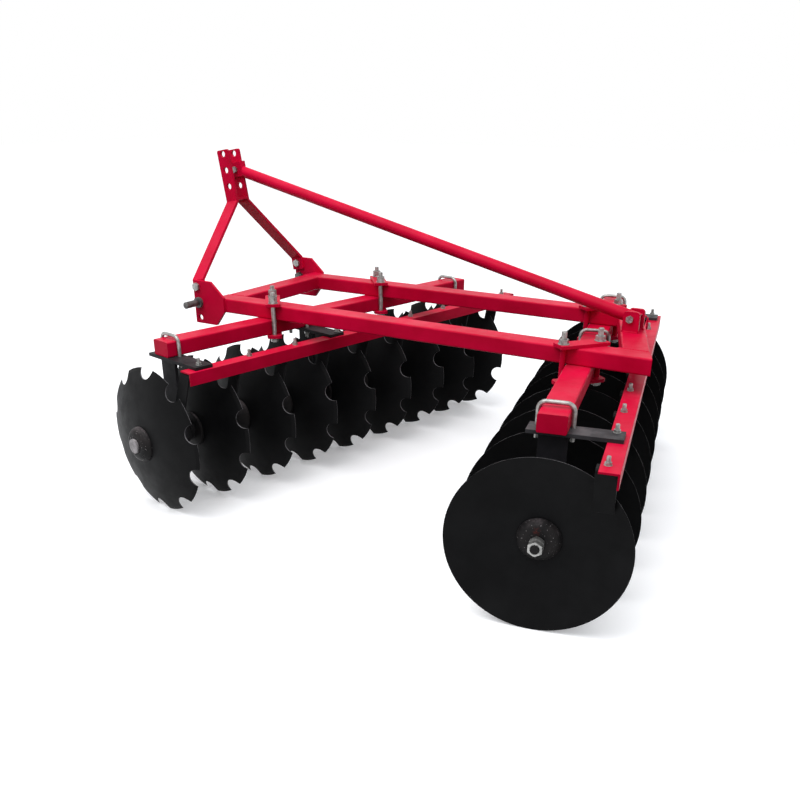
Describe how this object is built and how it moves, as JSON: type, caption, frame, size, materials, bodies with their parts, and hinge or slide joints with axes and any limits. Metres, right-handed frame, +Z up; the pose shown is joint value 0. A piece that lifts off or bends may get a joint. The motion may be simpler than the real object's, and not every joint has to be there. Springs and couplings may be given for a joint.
{
  "type": "mounted offset disc harrow",
  "caption": "Tractor-mounted offset disc harrow: welded red tube frame with a three-point mast, a notched front disc gang and a plain rear one, each free to turn.",
  "frame": {"origin": "on the ground under the middle of the whole machine's outline", "axes": "+X to the machine's right, +Y forward to the tractor, +Z up"},
  "size_m": [2.0452, 2.222, 1.268],
  "materials": {
    "red_paint": "gloss",
    "black_paint": "satin",
    "disc_steel": "satin",
    "cast_black": "satin",
    "zinc": "satin"
  },
  "bodies": {
    "frame": {"left_side_beam": "red_paint", "right_side_beam": "red_paint", "front_cross_beam": "red_paint", "rear_cross_beam": "red_paint", "left_hitch_plate": "red_paint", "right_hitch_plate": "red_paint", "left_link_pin": "zinc", "right_link_pin": "zinc", "left_mast_bar": "red_paint", "right_mast_bar": "red_paint", "mast_spacer": "red_paint", "mast_foot_bolts": "zinc", "mast_brace": "red_paint", "brace_clevis": "red_paint", "brace_front_bolt": "zinc", "brace_lugs": "red_paint", "brace_rear_bolt": "zinc", "front_gang_beam": "red_paint", "front_hangers": "black_paint", "front_bearings": "cast_black", "front_hanger_bars": "black_paint", "front_u_bolts": "zinc", "front_scraper_angle": "red_paint", "front_scrapers": "black_paint", "front_scraper_bolts": "zinc", "front_clamp_tops": "red_paint", "front_clamp_bottoms": "red_paint", "front_clamp_bolts": "zinc", "rear_gang_beam": "red_paint", "rear_hangers": "black_paint", "rear_bearings": "cast_black", "rear_hanger_bars": "black_paint", "rear_u_bolts": "zinc", "rear_scraper_angle": "red_paint", "rear_scrapers": "black_paint", "rear_scraper_bolts": "zinc", "rear_clamp_tops": "red_paint", "rear_clamp_bottoms": "red_paint", "rear_clamp_bolts": "zinc"},
    "front_gang": {"front_axle": "cast_black", "front_discs": "disc_steel", "front_spools": "cast_black", "front_end_washers": "cast_black", "front_axle_nuts": "zinc"},
    "rear_gang": {"rear_axle": "cast_black", "rear_discs": "disc_steel", "rear_spools": "cast_black", "rear_end_washers": "cast_black", "rear_axle_nuts": "zinc"}
  },
  "joints": [
    {"name": "front_gang_spin", "type": "hinge", "parent": "frame", "child": "front_gang", "pos_m": [0.02548, 0.54539, 0.28], "axis": [0.9781, -0.2079, 0], "continuous": true},
    {"name": "rear_gang_spin", "type": "hinge", "parent": "frame", "child": "rear_gang", "pos_m": [0.02548, -0.62674, 0.28], "axis": [0.9781, 0.2079, 0], "continuous": true}
  ]
}
